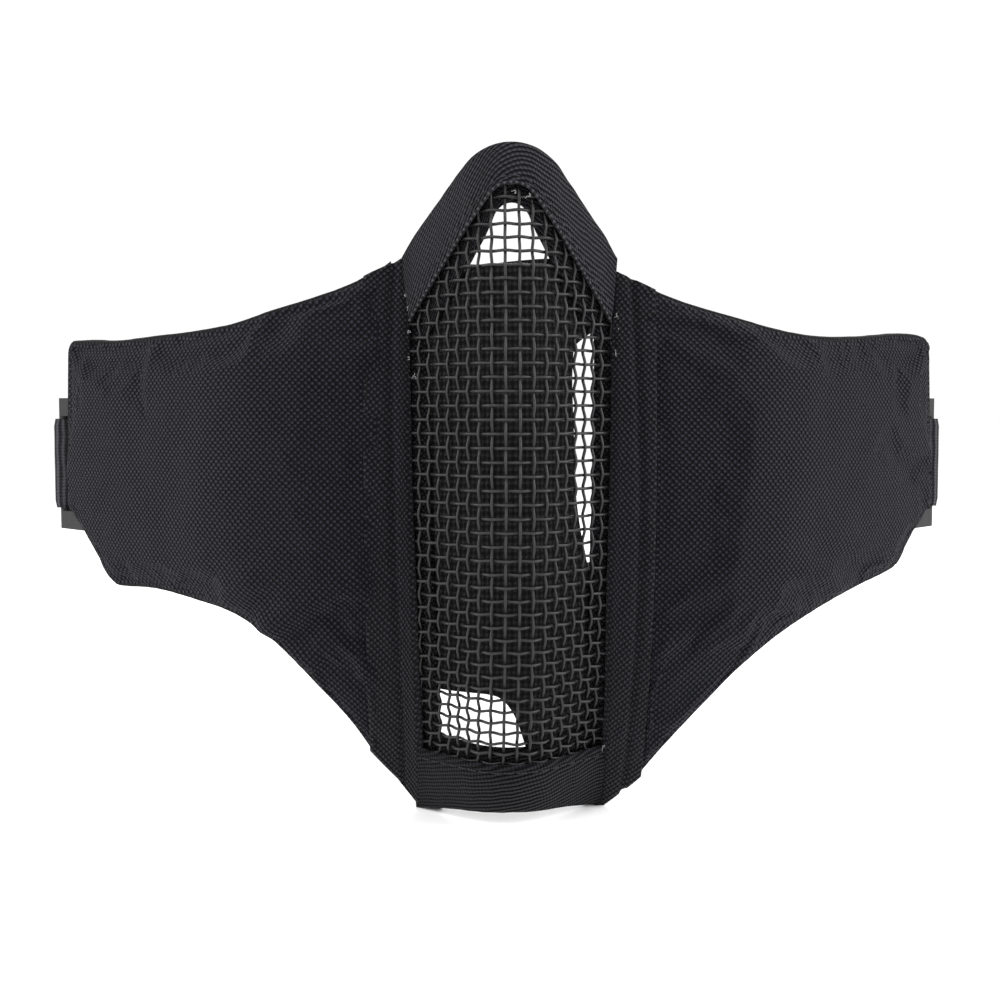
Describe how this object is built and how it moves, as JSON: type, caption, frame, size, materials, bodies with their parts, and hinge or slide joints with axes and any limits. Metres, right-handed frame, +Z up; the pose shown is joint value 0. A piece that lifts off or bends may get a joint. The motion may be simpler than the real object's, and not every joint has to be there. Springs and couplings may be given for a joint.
{
  "type": "half face mask",
  "caption": "Lower half face mask with a ridged woven wire front in tape bindings, two padded cloth wings and an elastic head strap on buckles.",
  "frame": {"origin": "middle of the face seat: midway between the wings, at the depth of their ends and level with the head strap's ends", "axes": "+X to the right seen from the front, -Y out of the front of the mask, +Z up"},
  "size_m": [0.252, 0.1758, 0.1619],
  "materials": {
    "wire": "black paint, half gloss",
    "binding_tape": "ribbed twill tape",
    "hem_cloth": "woven nylon, folded",
    "wing_cloth": "woven nylon",
    "foam": "closed cell foam",
    "edge_tape": "folded grosgrain tape",
    "lining": "brushed knit",
    "liner": "open spacer knit",
    "webbing": "elastic webbing",
    "buckle": "moulded, matt"
  },
  "bodies": {
    "front": {"mesh_vertical_wires": "wire", "mesh_horizontal_wires": "wire", "nose_binding": "binding_tape", "chin_binding": "binding_tape", "left_hem": "hem_cloth", "right_hem": "hem_cloth", "inner_liner": "liner", "head_strap": "webbing"},
    "right_wing": {"right_wing_cloth": "wing_cloth", "right_foam_pad": "foam", "right_edge_tape": "edge_tape", "right_lining": "lining", "right_tab": "webbing"},
    "right_strap_fitting": {"right_buckle": "buckle", "right_strap_end": "webbing"},
    "left_wing": {"left_wing_cloth": "wing_cloth", "left_foam_pad": "foam", "left_edge_tape": "edge_tape", "left_lining": "lining", "left_tab": "webbing"},
    "left_strap_fitting": {"left_buckle": "buckle", "left_strap_end": "webbing"}
  },
  "joints": [
    {"name": "right_wing_fold", "type": "hinge", "parent": "front", "child": "right_wing", "pos_m": [0.0345, -0.03612, -0.01475], "axis": [0, -0.1528, 0.9883], "range_deg": [0, 40], "deforming": ["head_strap"]},
    {"name": "right_buckle_swing", "type": "hinge", "parent": "right_wing", "child": "right_strap_fitting", "pos_m": [0.11194, 0.00674, 0], "axis": [0, 0, 1], "range_deg": [-8, 30]},
    {"name": "left_wing_fold", "type": "hinge", "parent": "front", "child": "left_wing", "pos_m": [-0.0345, -0.03612, -0.01475], "axis": [0, 0.1528, -0.9883], "range_deg": [0, 40], "deforming": ["head_strap"]},
    {"name": "left_buckle_swing", "type": "hinge", "parent": "left_wing", "child": "left_strap_fitting", "pos_m": [-0.11194, 0.00674, 0], "axis": [0, 0, -1], "range_deg": [-8, 30]}
  ]
}
